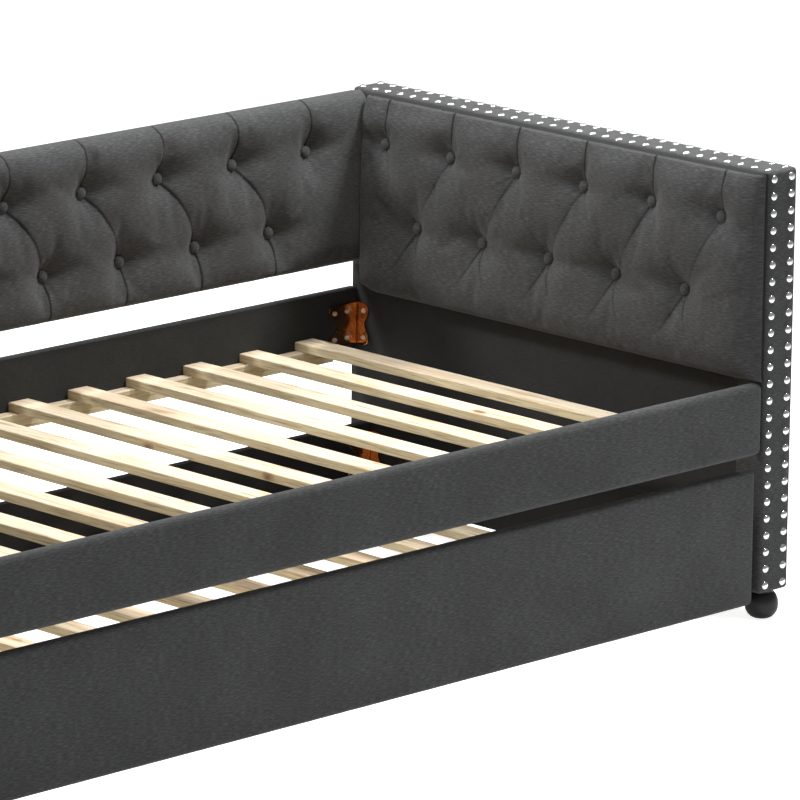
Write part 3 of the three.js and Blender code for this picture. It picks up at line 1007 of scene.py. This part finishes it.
def place_pad(piece, origin, along, up, out):
    """Moves a piece from the pad's own axes to the bed's."""
    matrix = Matrix((along, up, out)).transposed().to_4x4()
    matrix.translation = origin
    piece.data.transform(matrix)
    piece.data.update()


def surface_heights(piece, places):
    """The height of the point nearest to each place."""
    points = read_points(piece)
    return [points[np.argmin(np.hypot(*(points[:, :2] - place).T)), 2] for place in places]


def make_pad(name, pad, dimple):
    """The pad and its buttons in the pad's own axes."""
    piece, columns, rows = pad_sheet(name, pad, dimple)
    stuff(piece, pad, columns, rows)
    finish_with(piece, "SUBSURF", levels=2, render_levels=2)
    press_pleats(piece, pad)
    heights = surface_heights(piece, pad.buttons)
    close_back(piece)
    places = [((u, v, w + BUTTON_STAND), Quaternion()) for (u, v), w in zip(pad.buttons, heights)]
    buttons = spread(name.replace("pad", "buttons"), button_head(), places)
    return piece, buttons


def finish_pad(piece, buttons, node):
    lay_cloth(piece)
    dress(piece, PLEATED_SHADED, "daybed", 180)
    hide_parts(node)
    lay_cloth(buttons)
    dress(buttons, CHARCOAL, "daybed", 60)


def tuft_back():
    low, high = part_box("back_pad")
    length = high.x - low.x
    rolls = (8 * MM, 8 * MM, 18 * MM, 34 * MM)
    pad = Pad(length, high.z - low.z, high.y - low.y, rolls, 0.45)
    pitch = 0.189
    upper_v = 0.739 - low.z
    lower_v = 0.596 - low.z
    upper = [length / 2 + (i + 0.5) * pitch for i in range(-5, 5)]
    lower = [length / 2 + i * pitch for i in range(-4, 5)]
    pad.add_row(upper, upper_v)
    pad.add_row(lower, lower_v)
    for u in upper:
        pad.add_pleat((u, upper_v), (u - 4 * MM, pad.height), -0.05, 4.5 * MM, 0.8)
        pad.add_diagonals((u, upper_v), pitch, lower, lower_v, 0.9,
                          ((1, 4 * MM, 0.9, 0.05), (-1, 2 * MM, 0, -0.05)))
    for u in lower:
        pad.add_pleat((u, lower_v), (u + 4 * MM, 0), 0.04, 4 * MM, 0.8)
    piece, buttons = make_pad("back_tufted_pad", pad, 18.5 * MM)
    for part in (piece, buttons):
        place_pad(part, (low.x, high.y, low.z), (1, 0, 0), (0, 0, 1), (0, -1, 0))
    finish_pad(piece, buttons, "back_pad")


def tuft_arms():
    low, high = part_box("right_arm_pad")
    length = high.y - low.y
    rolls = (16 * MM, 6 * MM, 22 * MM, 7 * MM)
    pad = Pad(length, high.z - low.z, high.x - low.x, rolls, 0.15, tapered=True)
    pitch = 0.174
    first = 0.091
    upper_v = 0.748 - low.z
    lower_v = 0.598 - low.z
    upper = [first + i * pitch for i in range(6)]
    lower = [first + (i + 0.5) * pitch for i in range(5)]
    pad.add_row(upper, upper_v)
    pad.add_row(lower, lower_v)
    for u in upper:
        pad.add_pleat((u, upper_v), (u - 6 * MM, pad.height), 0.07, 4 * MM, 0.8)
        pad.add_diagonals((u, upper_v), pitch, lower, lower_v, 0.7,
                          ((1, 3.2 * MM, 0.36, -0.035), (-1, 2 * MM, 0.12, 0.01)))
    for u in lower:
        pad.add_pleat((u, lower_v), (u + 0.052, 0.055), -0.05, 3 * MM, 0.1, 0.5)
        pad.add_pleat((u, lower_v), (u - 0.036, 0.05), 0.05, 2.5 * MM, 0.1, 0.4)
    right, right_buttons = make_pad("right_arm_tufted_pad", pad, 15 * MM)
    for part in (right, right_buttons):
        place_pad(part, (high.x, low.y, low.z), (0, 1, 0), (0, 0, 1), (-1, 0, 0))
        turn_right_way_out(part)
    left = mirror_piece(right, "left_arm_tufted_pad")
    left_buttons = mirror_piece(right_buttons, "left_arm_tufted_buttons")
    finish_pad(right, right_buttons, "right_arm_pad")
    finish_pad(left, left_buttons, "left_arm_pad")


def mirror_piece(piece, name):
    """A mirror image of the piece across the bed's middle."""
    copy = rename(add_piece(name, piece.data.copy()), name)
    copy.data.transform(Matrix.Scale(-1, 4, (1, 0, 0)))
    copy.data.flip_normals()
    return copy


# -------- hardware

Corner = namedtuple("Corner", "x y sign inward arm_flange rail_flange bottom top stock")
CORNERS = [(side, sign, end, inward) for side, sign in SIDES.items()
           for end, inward in (("front", 1), ("back", -1))]
PLATE_ROUNDING = 0.16  # of its height
PLATE_WAIST = 0.32  # of its flanges' length


def bracket_plate(name, corner):
    """An L plate with wide rounded ends and a waist; its two backs meet at the corner's x and y."""
    bpy.ops.mesh.primitive_grid_add(x_subdivisions=24, y_subdivisions=18, size=2)
    plate = settle(rename(bpy.context.object, name))
    height = corner.top - corner.bottom
    rounding = height * PLATE_ROUNDING
    for vertex in plate.data.vertices:
        s, t = vertex.co.x, vertex.co.y
        from_end = height / 2 * (1 - abs(t))
        waist = 1 - PLATE_WAIST * math.exp(-(t / 0.38) ** 2)
        cut = rounding - math.sqrt(max(0, rounding ** 2 - max(0, rounding - from_end) ** 2))
        flange = corner.rail_flange if s > 0 else corner.arm_flange
        out = abs(s) * (flange * waist - cut)
        over_x, over_y = (out, corner.stock / 2) if s > 0 else (corner.stock / 2, out)
        vertex.co = (corner.x - corner.sign * over_x, corner.y + corner.inward * over_y,
                     corner.bottom + height * (t + 1) / 2)
    finish_with(plate, "SOLIDIFY", thickness=corner.stock, offset=0)
    finish_with(plate, "BEVEL", width=0.5 * MM, segments=2, limit_method="ANGLE",
                angle_limit=math.radians(50))
    turn_right_way_out(plate)
    return plate


def socket_screw(radius):
    """A button head screw standing on the XY plane, with a driven socket in its crown."""
    bpy.ops.mesh.primitive_cylinder_add(vertices=18, radius=radius, depth=radius * 0.7,
                                        location=(0, 0, radius * 0.35))
    screw = settle(rename(bpy.context.object, "screw"))
    select_faces(screw, lambda centre, normal: normal.z > 0.9)
    edit(screw, lambda: bpy.ops.mesh.bevel(offset=radius * 0.3, segments=2, affect="EDGES"))
    select_faces(screw, lambda centre, normal: normal.z > 0.999)
    sink = {"value": (0, 0, -radius * 0.35)}
    edit(screw,
         lambda: bpy.ops.mesh.inset(thickness=radius * 0.2),
         lambda: bpy.ops.mesh.extrude_region_move(TRANSFORM_OT_translate=sink))
    return screw


def screw_down(name, corner, margin, radius, body):
    """Near the plate's top and bottom, one screw through its arm flange and two through the other."""
    places = []
    for z in (corner.bottom + margin, corner.top - margin):
        arm_y = corner.y + corner.inward * corner.arm_flange * 0.62
        arm_x = corner.x - corner.sign * corner.stock
        places.append(((arm_x, arm_y, z), facing((-corner.sign, 0, 0))))
        for share in (0.38, 0.8):
            rail_x = corner.x - corner.sign * corner.rail_flange * share
            rail_y = corner.y + corner.inward * corner.stock
            places.append(((rail_x, rail_y, z), facing((0, corner.inward, 0))))
    screws = spread(name, socket_screw(radius), places)
    dress(screws, SCREW_ZINC, body)


def fit_corner(name, corner, margin, radius, body):
    plate = bracket_plate(f"{name}_plate", corner)
    dress(plate, COPPER_BROWN, body)
    screw_down(f"{name}_screws", corner, margin, radius, body)
    return plate


def fit_brackets():
    for side, sign, end, inward in CORNERS:
        node = f"{side}_{end}_bracket"
        low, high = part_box(node)
        x = outer_x((low, high), sign)
        y = low.y if inward > 0 else high.y
        corner = Corner(x, y, sign, inward, high.y - low.y, high.x - low.x, low.z, high.z, 3 * MM)
        plate = fit_corner(f"{side}_{end}_corner", corner, 16 * MM, 4.5 * MM, "daybed")
        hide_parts(node)


def fit_trundle_brackets():
    """Small corner plates inside the trundle, above its slats."""
    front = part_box("trundle_front_panel")[1].y + 0.6 * MM
    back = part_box("trundle_back_board")[0].y - 0.6 * MM
    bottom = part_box("trundle_slat_01")[1].z + 12 * MM
    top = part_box("trundle_back_board")[1].z - 16 * MM
    for side, sign, end, inward in CORNERS:
        x = inner_x(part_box(f"trundle_{side}_board"), sign) - sign * 0.4 * MM
        y = front if inward > 0 else back
        corner = Corner(x, y, sign, inward, 34 * MM, 62 * MM, bottom, top, 2.5 * MM)
        fit_corner(f"trundle_{side}_{end}_corner", corner, 15 * MM, 4 * MM, "trundle")


FOOT_PROFILE = [
    (0, 0), (15, 0), (17, 0.8), (21, 3), (26, 8), (29.2, 14), (30.7, 20), (31, 26),
    (30.6, 32), (29.2, 38), (26.6, 43.6), (23.6, 47.4), (21.6, 49), (21.2, 50.2),
    (21.6, 53.4), (0, 53.4),
]


def turn_feet():
    for side in SIDES:
        for end in ("front", "rear"):
            node = f"{side}_{end}_foot"
            low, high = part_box(node)
            foot = turned(f"{side}_{end}_bun_foot", FOOT_PROFILE, 40)
            foot.location = ((low.x + high.x) / 2, (low.y + high.y) / 2, low.z)
            settle(foot)
            dress(foot, FOOT_LACQUER, "daybed", 50)
            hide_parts(node)


HALF_WHEEL = [  # from the hub's face out to the tread
    (3.5, -10), (6.5, -10), (7, -9.4), (7.6, -8), (15, -7.4), (16.4, -8), (17, -9.4),
    (18, -10), (20.4, -9.6), (22, -8), (22.5, -5),
]
OTHER_HALF = [(radius, -height) for radius, height in reversed(HALF_WHEEL)]
WHEEL_PROFILE = HALF_WHEEL + OTHER_HALF + HALF_WHEEL[:1]


def fit_casters():
    """The wheels, each on a body of its own, and the screws in their brackets."""
    for side, sign in SIDES.items():
        for end in ("front", "rear"):
            node = f"{side}_{end}_wheel"
            low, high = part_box(node)
            middle = (Vector(low) + Vector(high)) / 2
            wheel = turned(f"{side}_{end}_caster_wheel", WHEEL_PROFILE, 40)
            wheel.rotation_euler = (0, math.pi / 2, 0)
            wheel.location = middle
            settle(wheel)
            dress(wheel, BLACK_NYLON, f"{node}_body", 35)
            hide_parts(node)
            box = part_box(f"{side}_{end}_caster")
            axle_x = inner_x(box, sign)
            board_x = outer_x(box, sign) - sign * 3 * MM
            places = [((axle_x, middle.y, middle.z), facing((-sign, 0, 0)))]
            for y in (-13 * MM, 13 * MM):
                places.append(((board_x, middle.y + y, box[1].z - 14 * MM), facing((-sign, 0, 0))))
            screws = spread(f"{side}_{end}_caster_screws", socket_screw(4.5 * MM), places)
            dress(screws, SCREW_ZINC, "trundle")


def finish_frame_nodes():
    """The frame's own boards and brackets keep their shapes and get their finishes."""
    for name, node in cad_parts.items():
        finish = None
        if "slat" in name:
            finish = SLAT_PINE
        elif "cleat" in name:
            finish = CLEAT_PINE
        elif name.endswith("_board"):
            finish = BLACK_BOARD
        elif name.endswith("_caster"):
            finish = CASTER_STEEL
        if finish:
            node.data.materials.clear()
            node.data.materials.append(finish)


set_camera()
build_studio()
build_arms()
build_panels()
tuft_back()
tuft_arms()
fit_brackets()
fit_trundle_brackets()
turn_feet()
fit_casters()
finish_frame_nodes()
